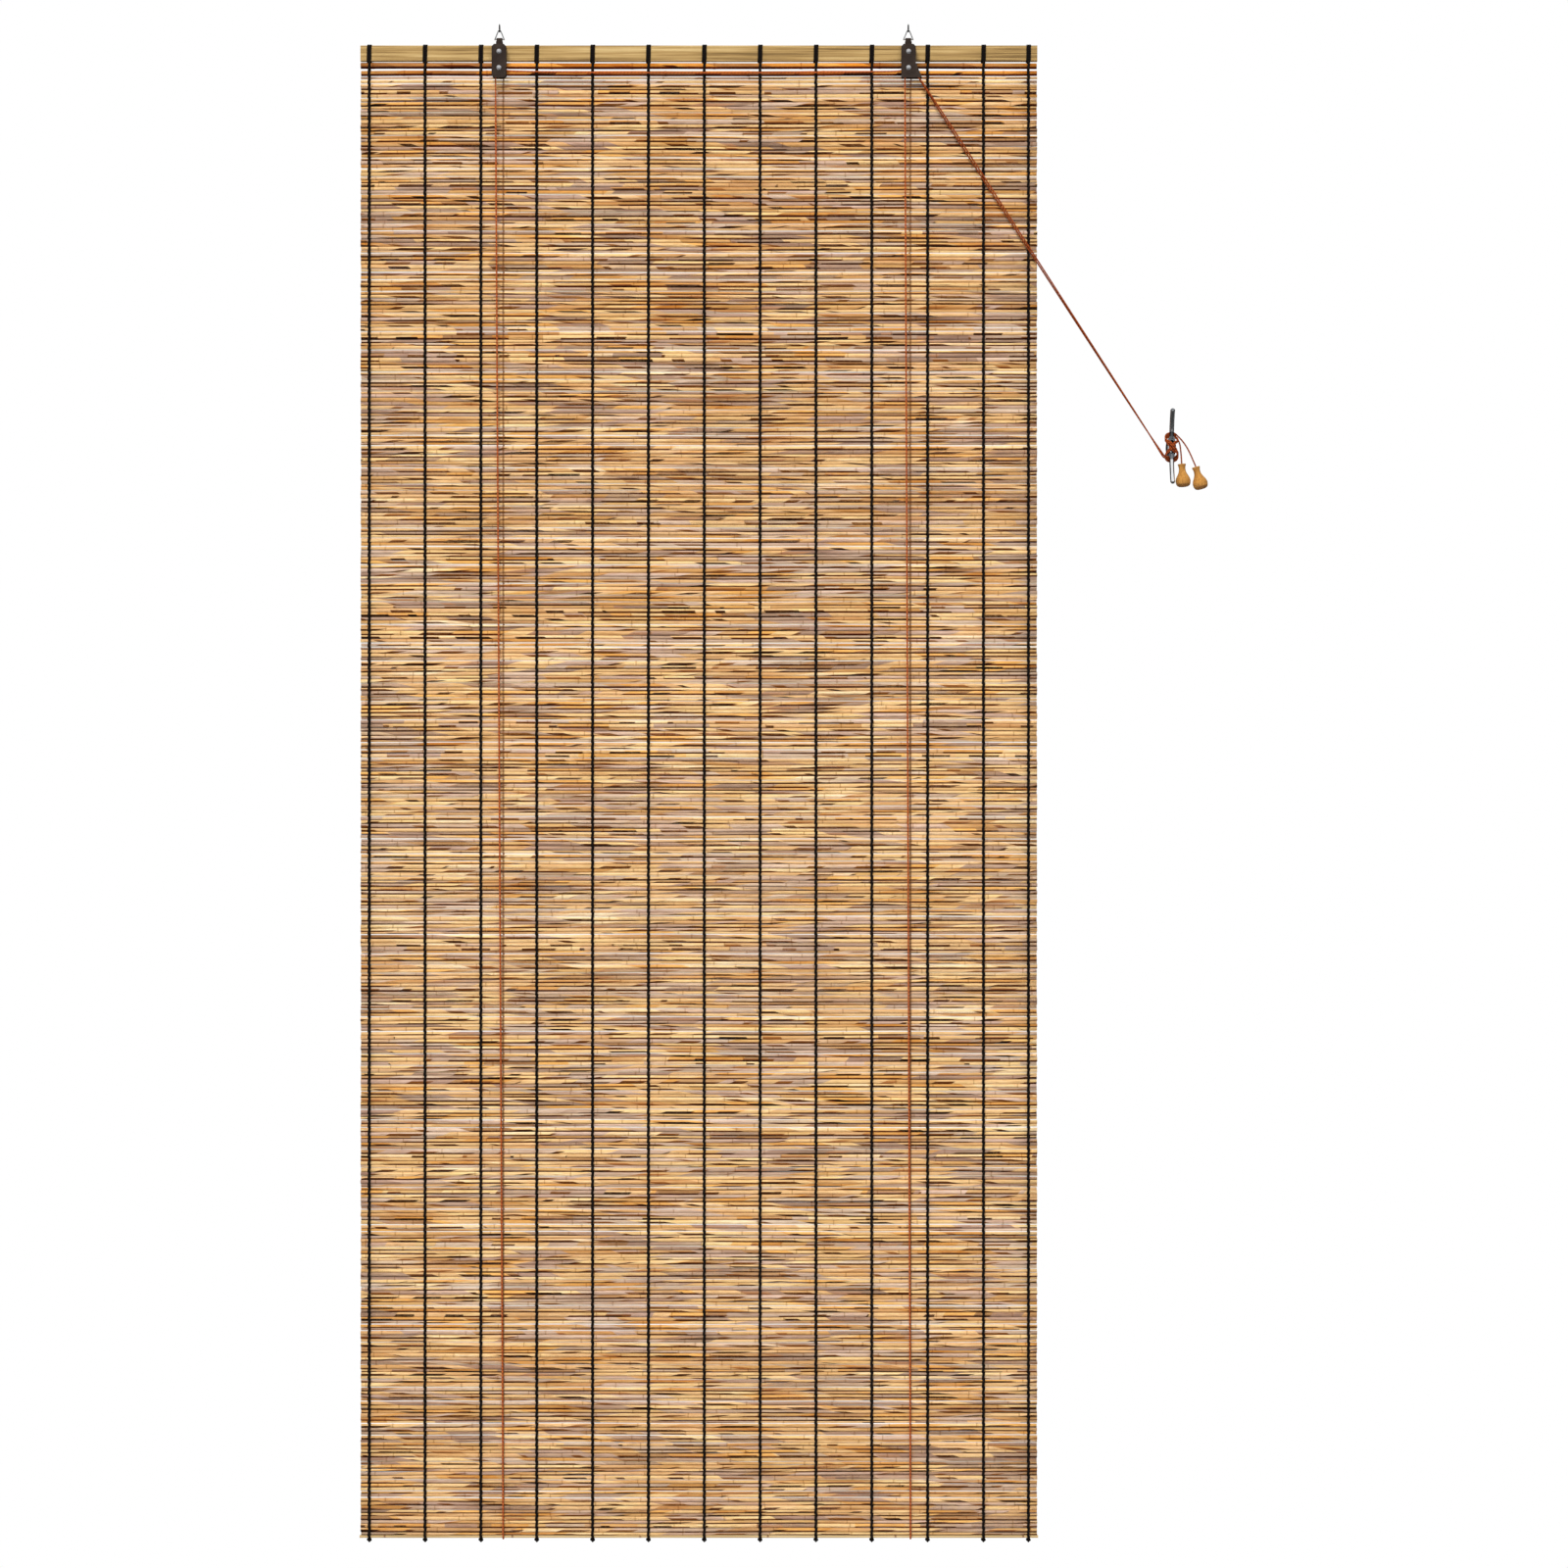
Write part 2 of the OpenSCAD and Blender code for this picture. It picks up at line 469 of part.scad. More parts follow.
// Wall cleat: waisted foot with a domed front, two round horns swept forward, two countersunk screw holes
horn_r = horn_w/2;
horn_mid = horn_rear - horn_r;
horn_root = 8;
horn_run = cleat_l/2 - horn_root - horn_r;
horn_bend = (horn_run*horn_run + horn_sweep*horn_sweep)/(2*horn_sweep);
horn_turn = 2*atan2(horn_sweep, horn_run);
dome_r = 9;
function both(p) = concat(p, [for (i = [len(p) - 1:-1:0]) [p[i][0], -p[i][1]]]);
body_right = both([[0, 16.4], [3.2, 15.6], [4.7, 12], [5.7, 8], [body_w/2 - 0.2, 4], [body_w/2, 1]]);
body_left = [for (i = [len(body_right) - 2:-1:1]) [-body_right[i][0], body_right[i][1]]];
body_side = both([[wall_y, 13], [wall_y - 2, 12.6], [2, 10.8], [-2.6, 11.4], [horn_rear + 0.2, 14.6],
  [horn_rear - 1, 17], [horn_front - 1, 17]]);
module horn() translate([0, horn_mid - horn_bend, horn_root]) rotate([90, 0, 90]) {
  rotate_extrude(angle = horn_turn) translate([horn_bend, 0]) circle(r = horn_r, $fn = 32);
  rotate([0, 0, horn_turn]) translate([horn_bend, 0, 0]) sphere(r = horn_r*1.02);
}
module cleat() color("silver") translate([cleat_x, 0, cleat_z]) difference() {
  union() {
    intersection() {
      along_y(horn_front - 1, wall_y) polygon(concat(body_right, body_left));
      along_x(-20, 20) polygon(body_side);
      union() {
        translate([0, horn_front + dome_r, -20]) cylinder(h = 40, r = dome_r);
        translate([-dome_r, horn_front + dome_r, -20]) cube([2*dome_r, wall_y - horn_front, 40]);
      }
    }
    horn();
    mirror([0, 0, 1]) horn();
  }
  for (s = [-1, 1]) {
    pin_y(0, s*screw_spacing/2, screw_r, horn_front - 2, wall_y + 1);
    translate([0, horn_front + 2.2, s*screw_spacing/2]) rotate([90, 0, 0])
      cylinder(h = 2.4, r1 = screw_r, r2 = screw_r + 2);
  }
}

left_hook();
right_hook();
left_ring();
right_ring();
cleat();
cleat_turns();
pull_cords();
left_tail();
right_tail();
left_tassel();
right_tassel();
head_lath();
bottom_stick();
reed_mat();
warp_cords();
warp_wraps();
warp_knots();
left_plate();
right_plate();
left_cover();
right_cover();
fixing_rivets();
axle_rivets();
cord_staples();
left_lift_cord();
right_lift_cord();
left_pulley();
right_front_sheave();
right_rear_sheave();
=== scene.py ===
"""Reed roller blind with its brackets, lift cords, wall cleat and tassels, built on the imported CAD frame."""

import bpy
import numpy as np
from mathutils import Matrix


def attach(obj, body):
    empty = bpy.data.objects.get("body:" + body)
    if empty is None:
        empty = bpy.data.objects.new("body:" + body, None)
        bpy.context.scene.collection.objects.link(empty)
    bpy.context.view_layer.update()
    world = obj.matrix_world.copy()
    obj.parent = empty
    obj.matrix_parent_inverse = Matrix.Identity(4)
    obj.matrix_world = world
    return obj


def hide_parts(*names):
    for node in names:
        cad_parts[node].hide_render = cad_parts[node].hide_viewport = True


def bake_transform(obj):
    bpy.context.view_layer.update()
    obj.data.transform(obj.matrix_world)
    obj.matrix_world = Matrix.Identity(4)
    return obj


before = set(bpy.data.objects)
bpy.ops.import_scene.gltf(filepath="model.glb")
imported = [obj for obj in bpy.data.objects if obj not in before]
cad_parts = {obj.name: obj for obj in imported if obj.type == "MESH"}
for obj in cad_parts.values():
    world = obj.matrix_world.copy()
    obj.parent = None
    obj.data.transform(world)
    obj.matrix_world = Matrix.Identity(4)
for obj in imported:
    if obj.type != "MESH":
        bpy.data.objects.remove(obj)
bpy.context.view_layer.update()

# Studio: the blind is seen square on, against white. A pale floor lies below the view, and a large soft light
# hangs high in front. The shine of the metal sees a dark ground in place of the floor, a grey screen in
# front, and dark walls behind and beside.
camera_away = 4.5
view_width = 2.3168
film_width = 36
camera = bpy.data.objects.new("camera", bpy.data.cameras.new("camera"))
camera.location = (0.1183, -camera_away, -1.117)
camera.rotation_euler = (np.pi / 2, 0, 0)
camera.data.sensor_width = film_width
camera.data.lens = film_width * camera_away / view_width
camera.data.clip_end = 200
bpy.context.collection.objects.link(camera)
bpy.context.scene.camera = camera
bpy.context.scene.view_settings.view_transform = "Standard"


def lamp(name, place, aim, size, power):
    """A square area light at place that faces the point aim, and that no shine shows. It is tipped by the
    angle between straight down and the way to aim, and turned to the way's heading."""
    data = bpy.data.lights.new(name, "AREA")
    data.shape = "SQUARE"
    data.size = size
    data.energy = power
    obj = bpy.data.objects.new(name, data)
    obj.location = place
    way = np.array(aim, float) - place
    tip = np.arctan2(np.hypot(way[0], way[1]), -way[2])
    heading = np.arctan2(-way[0], way[1])
    obj.rotation_euler = (tip, 0, heading)
    obj.visible_glossy = False
    bpy.context.collection.objects.link(obj)


lamp("key", (-2.5, -6.0, 9.0), (0, 0, -1.1), size=3.5, power=1500)
lamp("fill", (4.0, -9.0, 0.5), (0.2, 0, -1.1), size=4.0, power=170)
lamp("back", (4.0, 7.0, 4.5), (0, 0, -1.1), size=4.0, power=400)


class Wire:
    """One output in a node tree. Arithmetic on it, from either side, adds Math nodes, and add() any other
    node."""

    def __init__(self, tree, out=None):
        self.tree = tree
        self.out = out

    def add(self, kind, pick=0, inputs=None, stops=(), **settings):
        """A new node of one kind, as a Wire on its output pick. The settings come first, and a ramp's stops,
        each a share and a colour. Then its inputs take numbers, colours or Wires."""
        node = self.tree.nodes.new("ShaderNode" + kind)
        for key, value in settings.items():
            setattr(node, key, value)
        for number, (share, colour) in enumerate(stops):
            known = node.color_ramp.elements
            stop = known[number] if number < 2 else known.new(share)
            stop.position = share
            stop.color = colour
        for key, value in (inputs or {}).items():
            if isinstance(value, Wire):
                self.tree.links.new(value.out, node.inputs[key])
            else:
                node.inputs[key].default_value = value
        return Wire(self.tree, node.outputs[pick])

    def math(self, operation, *others):
        """A Math node's operation on this number and the others, in that order."""
        return self.add("Math", 0, dict(enumerate((self, *others))), operation=operation)

    def __add__(self, other):
        return self.math("ADD", other)

    __radd__ = __add__

    def __mul__(self, other):
        return self.math("MULTIPLY", other)

    __rmul__ = __mul__

    def __sub__(self, other):
        return self.math("SUBTRACT", other)

    def __rsub__(self, other):
        return self.add("Math", 0, {0: other, 1: self}, operation="SUBTRACT")

    def between(self, low, high):
        """0 at low and 1 at high, level beyond them and smooth between. low may be the larger."""
        return self.add("MapRange", 0, {0: self, 1: low, 2: high}, interpolation_type="SMOOTHSTEP")

    def blend(self, low, high):
        """The colour low where this is 0, the colour high where it is 1, and their mix between."""
        return self.add("Mix", 2, {0: self, 6: low, 7: high}, data_type="RGBA", clamp_factor=True)

    def times(self, colour):
        """This colour, multiplied by another."""
        return self.add("Mix", 2, {0: 1.0, 6: self, 7: colour}, data_type="RGBA", blend_type="MULTIPLY")

    def ramp(self, *stops):
        """A colour for this number: that of each stop at its share, and their mix between."""
        return self.add("ValToRGB", 0, {0: self}, stops)

    def xyz(self, pick):
        """One part of this vector: 0 for x, 1 for y, 2 for z."""
        return self.add("SeparateXYZ", pick, {0: self})

    def scaled(self, *sizes):
        """This vector, with its x, y and z each multiplied by a number."""
        return self.add("VectorMath", 0, {0: self, 1: sizes}, operation="MULTIPLY")

    def noise(self, scale=1.0, detail=2.0, rough=0.5):
        """Soft noise from 0 to 1 at this place, scale grains to the unit, with detail finer layers of it."""
        return self.add("TexNoise", 0, {"Vector": self, "Scale": scale, "Detail": detail, "Roughness": rough})


def material(name):
    """A new material, its Principled shader's inputs, and a Wire on its tree."""
    made = bpy.data.materials.new(name)
    made.use_nodes = True
    return made, made.node_tree.nodes["Principled BSDF"].inputs, Wire(made.node_tree)


def feed(inputs, bump=None, height=0.001, **sources):
    """Links Wires, or sets numbers and colours, on a shader's inputs. bump is a height from 0 to 1, which
    stands for so many metres."""
    for key, value in sources.items():
        socket = inputs[key.replace("_", " ")]
        if isinstance(value, Wire):
            value.tree.links.new(value.out, socket)
        else:
            socket.default_value = value
    if bump is not None:
        made = bump.add("Bump", 0, {"Height": bump, "Distance": height, "Strength": 1.0})
        bump.tree.links.new(made.out, inputs["Normal"])


def card(name, corners, shade):
    """A flat sheet of one matt shade, part of the studio: the single face through its four corners."""
    mesh = bpy.data.meshes.new(name)
    mesh.from_pydata(corners, [], [(0, 1, 2, 3)])
    paint, sockets, _ = material(name)
    feed(sockets, Base_Color=(shade, shade, shade, 1), Roughness=0.9)
    mesh.materials.append(paint)
    obj = bpy.data.objects.new(name, mesh)
    bpy.context.collection.objects.link(obj)
    return obj


floor = card("floor", [(-5, -6, -2.6), (5, -6, -2.6), (5, 0.8, -2.6), (-5, 0.8, -2.6)], 0.8)
floor.visible_glossy = False
mirrored = {
    "ground": ([(-40, -60, -2.7), (40, -60, -2.7), (40, 8, -2.7), (-40, 8, -2.7)], 0.19),
    "screen": ([(-12, -10, -2.7), (12, -10, -2.7), (12, -10, 0.9), (-12, -10, 0.9)], 0.6),
    "wall": ([(-8, 8, -2.7), (8, 8, -2.7), (8, 8, 20), (-8, 8, 20)], 0.03),
    "wall_left": ([(-8, -4, -2.7), (-8, 8, -2.7), (-8, 8, 6), (-8, -4, 6)], 0.03),
    "wall_right": ([(8, 8, -2.7), (8, -4, -2.7), (8, -4, 6), (8, 8, 6)], 0.03),
}
for name, (corners, shade) in mirrored.items():
    sheet = card(name, corners, shade)
    sheet.visible_camera = False
    sheet.visible_diffuse = False
    sheet.visible_shadow = False
    sheet.visible_transmission = False

world = bpy.data.worlds.new("studio")
bpy.context.scene.world = world
world.use_nodes = True
sky = Wire(world.node_tree)
sky_light = 0.3
shown = sky.add("LightPath", "Is Camera Ray").math("MAXIMUM", sky.add("LightPath", "Is Glossy Ray"))
strength = shown * (1 - sky_light) + sky_light
feed(world.node_tree.nodes["Background"].inputs, Color=(1, 1, 1, 1), Strength=strength)

# Head lath: a flat strip planed from bamboo, which carries the mat and both brackets. It is left bare, pale
# tan, with fine straight grain along it and softer bands of lighter and darker wood.


def srgb(red, green, blue):
    """A colour as seen on screen, 0 to 255, in linear light: a power of 2.4, or a straight line near
    black."""
    seen = np.array([red, green, blue]) / 255
    return (*np.where(seen > 0.04045, ((seen + 0.055) / 1.055) ** 2.4, seen / 12.92).tolist(), 1.0)


def dress(paint, *nodes):
    """Gives CAD nodes a material in every slot."""
    for node in nodes:
        obj = bpy.data.objects[node]
        if not obj.material_slots:
            obj.data.materials.append(paint)
        for slot in obj.material_slots:
            slot.material = paint


lath_paint, sockets, tree = material("lath_bamboo")
place = tree.add("TexCoord", "Object")
grain = place.scaled(4, 260, 260).noise(detail=4, rough=0.6)
hair = place.scaled(14, 1500, 1500).noise()
patch = place.scaled(9, 0, 14).noise()
level = grain * 1.7 + hair * 0.5 + patch * 0.4 - 0.82
tone = level.ramp((0.2, srgb(112, 86, 46)), (0.42, srgb(162, 130, 78)), (0.58, srgb(180, 148, 94)),
                  (0.85, srgb(206, 178, 124)))
feed(sockets, grain * 0.5 + hair * 0.5, 0.00012, Base_Color=tone, Roughness=hair * 0.2 + 0.45)
dress(lath_paint, "head_lath")

# Reed mat: 396 hollow reeds of uneven thickness, laid one under another, with open gaps between some of them.
# Each tapers, bends a little at its nodes, and keeps brown leaf sheath on part of many internodes. Only the
# warps hold the reeds together.
reed_count = 396
gap_count = 104
internode = 125
nodes_each = 8
reed_sides = 8
mat_left = -507.5
mat_width = 1000
mat_top = -51.5
mat_y = 1.8
stick_top = -2227.2
rear_falls = (-0.2965, 0.3052)


def loft(name, grid, paint, cuts=1, first=0, **extra):
    """A mesh of tubes. grid[t, i, j] is corner j of ring i of tube t, in mm. Each ring joins the next in a
    band of four-sided faces, and the two ends are flat faces. UV map lay holds metres along and the share of
    the way round. OFBake lays each tube out as rows, cut into so many lengths, with the end faces in a column
    beside them. strand is the tube's number, counted from first, and extra has further numbers for each
    ring."""
    tubes, rings, sides, _ = grid.shape
    index = np.arange(tubes * rings * sides).reshape(tubes, rings, sides)
    turn = np.roll(index, -1, 2)
    quads = np.stack([index[:, :-1], turn[:, :-1], turn[:, 1:], index[:, 1:]], -1).reshape(-1, 4)
    ends = np.concatenate([index[:, 0, ::-1], index[:, -1]])
    loops = np.concatenate([quads.ravel(), ends.ravel()])
    starts = np.concatenate([np.arange(len(quads)) * 4, quads.size + np.arange(len(ends)) * sides])
    mesh = bpy.data.meshes.new(name)
    mesh.vertices.add(index.size)
    mesh.vertices.foreach_set("co", (grid / 1000).astype(np.float32).ravel())
    mesh.loops.add(loops.size)
    mesh.loops.foreach_set("vertex_index", loops.astype(np.int32))
    mesh.polygons.add(len(starts))
    mesh.polygons.foreach_set("loop_start", starts.astype(np.int32))

    along = np.zeros((tubes, rings))
    along[:, 1:] = np.cumsum(np.linalg.norm(np.diff(grid.mean(2), axis=1), axis=2), 1) / 1000
    ring, side = np.meshgrid(np.arange(rings - 1), np.arange(sides), indexing="ij")
    next_ring = np.array([0, 0, 1, 1])
    next_side = np.array([0, 1, 1, 0])
    far = along[:, ring[..., None] + next_ring]
    turned = np.broadcast_to((side[..., None] + next_side) / sides, far.shape)
    once = np.arange(sides) / sides
    end_far = np.concatenate([along[:, :1], along[:, -1:]]) + np.zeros(sides)
    end_turned = np.concatenate([np.tile(once[::-1], (tubes, 1)), np.tile(once, (tubes, 1))])
    lay = np.stack([np.r_[far.ravel(), end_far.ravel()], np.r_[turned.ravel(), end_turned.ravel()]], 1)

    rows_wide = 0.97
    row_margin = 0.06
    end_columns = [0.978, 0.991]
    rows = tubes * cuts
    span = -(-(rings - 1) // cuts)
    row = (np.arange(tubes)[:, None, None, None] * cuts + ring[None, ..., None] // span).repeat(4, 3)
    u = ((ring % span)[..., None] + next_ring) / span * rows_wide + np.zeros(far.shape)
    v = (row + row_margin + (1 - 2 * row_margin) * turned) / rows
    end_row = np.concatenate([np.arange(tubes) * cuts, np.arange(tubes) * cuts + cuts - 1])[:, None]
    end_size = min(0.005, 0.3 / rows)
    end_u = np.repeat(end_columns, tubes)[:, None] + end_size * np.cos(2 * np.pi * end_turned)
    end_v = (end_row + 0.5) / rows + end_size * np.sin(2 * np.pi * end_turned)
    bake = np.stack([np.r_[u.ravel(), end_u.ravel()], np.r_[v.ravel(), end_v.ravel()]], 1)
    for title, values in (("OFBake", bake), ("lay", lay)):
        mesh.uv_layers.new(name=title).data.foreach_set("uv", values.astype(np.float32).ravel())

    strand = np.repeat(np.arange(tubes) + first, rings).reshape(tubes, rings)
    for title, values in {"strand": strand, **extra}.items():
        held = mesh.attributes.new(title, "FLOAT", "POINT").data
        held.foreach_set("value", np.repeat(values.ravel(), sides).astype(np.float32))
    mesh.polygons.foreach_set("use_smooth", np.ones(len(starts), bool))
    mesh.update(calc_edges=True)
    mesh.materials.append(paint)
    obj = bpy.data.objects.new(name, mesh)
    bpy.context.collection.objects.link(obj)
    return obj


# Numbers of the reed's surface: low is 0 on its top and 1 underneath. Each reed is split into stretches, a
# little aslant, and each stretch draws its own luck, length of sheath and hue.
reed_paint, sockets, tree = material("reeds")
lay = tree.add("UVMap", 0, uv_map="lay")
place = tree.add("TexCoord", "Object")
reed = tree.add("Attribute", 2, attribute_name="strand")
grow = tree.add("Attribute", 2, attribute_name="grow")
bore = tree.add("Attribute", 2, attribute_name="bore")
below = tree.add("Attribute", 2, attribute_name="below")
around = lay.xyz(1)
low = 1 - (around - 0.5).math("ABSOLUTE") * 2
own = tree.add("TexWhiteNoise", "Color", {"W": reed}, noise_dimensions="1D")
slant = grow * 1.6 + (low - 0.5) * (own.xyz(1) - 0.5) * 1.8
stretch = tree.add("CombineXYZ", 0, {0: reed, 1: slant.math("FLOOR")})
share = slant.math("FRACT")
pick = tree.add("TexWhiteNoise", "Color", {"Vector": stretch}, noise_dimensions="2D")
luck = pick.xyz(0)
sheath = pick.xyz(1)
hue = pick.xyz(2)
shifted = tree.add("CombineXYZ", 0, {0: reed, 1: (slant + own.xyz(2)).math("FLOOR"), 2: 7.0})
lined = tree.add("TexWhiteNoise", "Value", {"Vector": shifted}, noise_dimensions="3D")
streak = tree.add("CombineXYZ", 0, {0: lay.xyz(0) * 8, 1: around * 4, 2: reed * 13.7})
streak = streak.noise(detail=4, rough=0.6)
fine = tree.add("CombineXYZ", 0, {0: lay.xyz(0) * 60, 1: around * 30, 2: reed * 5.3})
fine = fine.noise(detail=3, rough=0.6)
patch = tree.add("CombineXYZ", 0, {0: place.xyz(0) * 7, 1: place.xyz(2) * 11}).noise()

# Straw, or greyer where the reed has weathered, with fine darker lines.
rise = place.xyz(2).between(-0.1, -1.2) * 0.1 - place.xyz(2).between(-1.7, -2.1) * 0.07
level = own.xyz(0) * 0.12 + luck * 0.48 + (streak - 0.5) * 0.8 + (patch - 0.5) * 0.4 + rise + 0.18
straw = level.ramp((0.0, srgb(142, 87, 35)), (0.2, srgb(193, 141, 82)), (0.4, srgb(217, 174, 119)),
                   (0.58, srgb(230, 193, 143)), (0.74, srgb(246, 211, 154)), (1.0, srgb(255, 241, 214)))
grey = level.ramp((0.0, srgb(105, 82, 71)), (0.4, srgb(169, 140, 123)), (1.0, srgb(234, 210, 193)))
tone = (hue + (patch - 0.5) * 0.16).between(0.6, 0.64).blend(straw, grey)
tone = tone.times(lined.blend(srgb(255, 246, 242), srgb(251, 255, 240)))
tone = lined.between(0.82, 0.86).blend(tone, tone.times(srgb(252, 222, 180)))
tone = fine.between(0.25, 0.6).blend(tone.times(srgb(214, 196, 176)), tone)

# Leaf sheath covers the lower side of a reed from the start of a stretch: pale brown on one stretch in five,
# and dark on the others.
sheathed = ((sheath - 0.38) * 1.1 - share + (streak - 0.5) * 0.14).between(0.0, 0.012)
faded = luck.between(0.2, 0.19)
pale_sheath = hue.ramp((0.0, srgb(124, 68, 26)), (0.4, srgb(166, 104, 50)), (1.0, srgb(182, 138, 108)))
tone = (sheathed * faded * low.between(0.38, 0.44)).blend(tone, pale_sheath)
dark_sheath = hue.ramp((0.0, srgb(40, 16, 3)), (0.5, srgb(94, 48, 10)), (1.0, srgb(134, 80, 34)))
tone = (sheathed * low.between(0.4, 0.46) * (1 - faded)).blend(tone, dark_sheath)

# The two thick reeds on top are darker. Undersides get a painted brown shade, or a painted pale glow of light
# where a gap lies below. Nodes are darker too, and painted shade darkens the lines of the lift cords behind
# and the hollow bores.
top_pair = reed.between(1.6, 1.4)
tone = top_pair.blend(tone, tone.times(srgb(240, 198, 128)))
rim = below * (1 - top_pair)
# Painted shade along each reed's underside, wider on some stretches and on the top pair, and left off above a
# gap.
underside_shade = low - 0.92 + lined.between(0.46, 0.66).math("MAXIMUM", top_pair) * 0.36
shade = underside_shade.between(0.0, 0.08) * (1 - rim)
tone = shade.blend(tone, tone.times(srgb(114, 62, 20)))
# Painted light: a pale glow on the underside of a reed that has an open gap below.
tone = (rim * low.between(0.66, 0.84)).blend(tone, srgb(255, 236, 196))
since_node = grow.math("FRACT")
from_node = since_node.math("MINIMUM", 1 - since_node) * (internode / 1000)
tone = from_node.between(0.0004, 0.0014).blend(tone.times(srgb(218, 204, 190)), tone)
# Painted shade where each lift cord hangs behind the mat.
for fall_x in rear_falls:
    line = (place.xyz(0) - fall_x).math("ABSOLUTE").between(0.002, 0.001)
    tone = (line * 0.75).blend(tone, srgb(116, 68, 34))
# Painted shade of the hollow in each reed's open ends.
tone = bore.blend(tone, srgb(70, 48, 30))
feed(sockets, streak * 0.6 + fine * 0.4, 0.0002, Base_Color=tone, Roughness=fine * 0.25 + 0.45,
     Specular_IOR_Level=0.12)

# Thickness and gaps as in the solids: two thick reeds on top, then two waves of size that never fall in step.
# The first gaps lie between the top reeds, and the others about four reeds apart.
rng = np.random.default_rng(11)
reed_no = np.arange(reed_count)
gap_no = np.arange(gap_count)
uneven = 1 + 0.18 * np.sin(np.radians(131 * reed_no)) + 0.12 * np.sin(np.radians(57 * reed_no))
girth = np.where(reed_no < 2, 1.85 - 0.1 * reed_no, uneven)
edge_z = mat_top + (stick_top - mat_top) * np.r_[0, np.cumsum(girth)] / girth.sum()
spread = 4 + (gap_no - 3) * (reed_count - 8) / (gap_count - 3) + 1.4 * np.sin(np.radians(97 * gap_no))
gap_row = np.where(gap_no < 4, gap_no + 1, np.floor(spread)).astype(int)
space = np.zeros(reed_count + 1)
space[gap_row] = np.where(gap_no < 1, 3, 1.9 * (0.68 + 0.32 * np.sin(np.radians(53 * gap_no))))
space[2:] *= 0.62
reed_top = edge_z[:-1] - space[:-1] / 2
reed_low = edge_z[1:] + space[1:] / 2
reed_z = (reed_top + reed_low) / 2
reed_thick = (reed_top - reed_low) * 1.03

# Rings along each reed: evenly spread, three at each node, and two inside each open end. along is mm from the
# left.
first_node = rng.uniform(0.05, 0.95, (reed_count, 1))
node_shift = rng.uniform(-0.12, 0.12, (reed_count, nodes_each))
nodes = internode * (np.arange(nodes_each) + first_node + node_shift)
nodes = np.clip(nodes, 8, mat_width - 8)
end_left = rng.uniform(0, 1, (reed_count, 1))
end_right = mat_width - rng.uniform(0, 1, (reed_count, 1))
even = end_left + (end_right - end_left) * np.linspace(0, 1, 18)
along = np.sort(np.concatenate([even, nodes - 3, nodes, nodes + 3], 1), 1)
along = np.clip(along, end_left, end_right)
along = np.concatenate([end_left + 5, end_left, along, end_right, end_right - 5], 1)
hollow = np.ones(along.shape[1])
hollow[[0, 1, -2, -1]] = 0.5, 0.62, 0.62, 0.5
known = np.concatenate([nodes[:, :1] - internode, nodes, nodes[:, -1:] + internode], 1)
grown = np.clip((along[:, :, None] - known[:, None, :-1]) / np.diff(known)[:, None], 0, 1).sum(2)

# Each ring is an oval: swollen at a node, tapered along the reed, and moved by slow waves up and down and to
# and fro.
swell = 1 + 0.09 * np.exp(-(((along[:, :, None] - nodes[:, None]) / 2.5) ** 2)).sum(2)
taper = rng.choice([-1, 1], (reed_count, 1)) * rng.uniform(0.0, 0.06, (reed_count, 1))
taper = 1 + taper * (along / (mat_width / 2) - 1)
drift = np.cumsum(rng.normal(0, 0.4, (reed_count, 2)), 0)
wave = 0.28 * np.sin(along / 110 + drift[:, :1]) + 0.2 * np.sin(along / 52 + drift[:, 1:])
wave += 0.1 * np.sin(along / rng.uniform(22, 40, (reed_count, 1)) + rng.uniform(0, 6.28, (reed_count, 1)))
sway = 0.3 * np.sin(along / rng.uniform(40, 90, (reed_count, 1)) + rng.uniform(0, 6.28, (reed_count, 1)))
angle = np.arange(reed_sides) / reed_sides * 2 * np.pi
half_tall = reed_thick[:, None] / 2 * swell * taper * hollow
half_deep = np.minimum(half_tall, 2.55)
reed_grid = np.stack([
    np.broadcast_to((along + mat_left)[..., None], (*along.shape, reed_sides)),
    (mat_y + sway)[..., None] - half_deep[..., None] * np.sin(angle),
    (reed_z[:, None] + wave)[..., None] + half_tall[..., None] * np.cos(angle),
], -1)
inner = np.broadcast_to((hollow < 1).astype(float), along.shape)
opens = np.broadcast_to((space[1:, None] > 0).astype(float), along.shape)
reeds_each = reed_count // 3
for part, name in enumerate(("reeds_upper", "reeds_middle", "reeds_lower")):
    first = part * reeds_each
    some = slice(first, first + reeds_each)
    made = loft(name, reed_grid[some], reed_paint, first=first, grow=grown[some], bore=inner[some],
                below=opens[some])
    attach(made, "blind")
    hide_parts("reed_mat")

# Bottom stick: a slim stick of peeled cane, paler than the reeds, with a darker joint here and there. It ends
# the mat, and the warps tie it in under the last reed.
stick_paint, sockets, tree = material("stick_cane")
place = tree.add("TexCoord", "Object")
grain = place.scaled(6, 500, 500).noise(detail=3)
joint = ((place.xyz(0) * 5.3).math("FRACT") - 0.5).math("ABSOLUTE").between(0.003, 0.012)
tone = grain.ramp((0.25, srgb(166, 132, 84)), (0.5, srgb(200, 170, 120)), (0.8, srgb(222, 196, 150)))
tone = joint.blend(srgb(140, 100, 62), tone)
feed(sockets, grain, 0.0002, Base_Color=tone, Roughness=grain * 0.2 + 0.4)
dress(stick_paint, "bottom_stick")

# Warps: two black twisted yarns at each of 13 places, twined round every pair of reeds, one in front while
# the other is behind. They hold the mat together, from the head lath down to the bottom stick.
warp_x = np.r_[-494.5 + 82.5 * np.arange(12), 479.5]
yarn_radius = 2.1
yarn_reach = 3.3


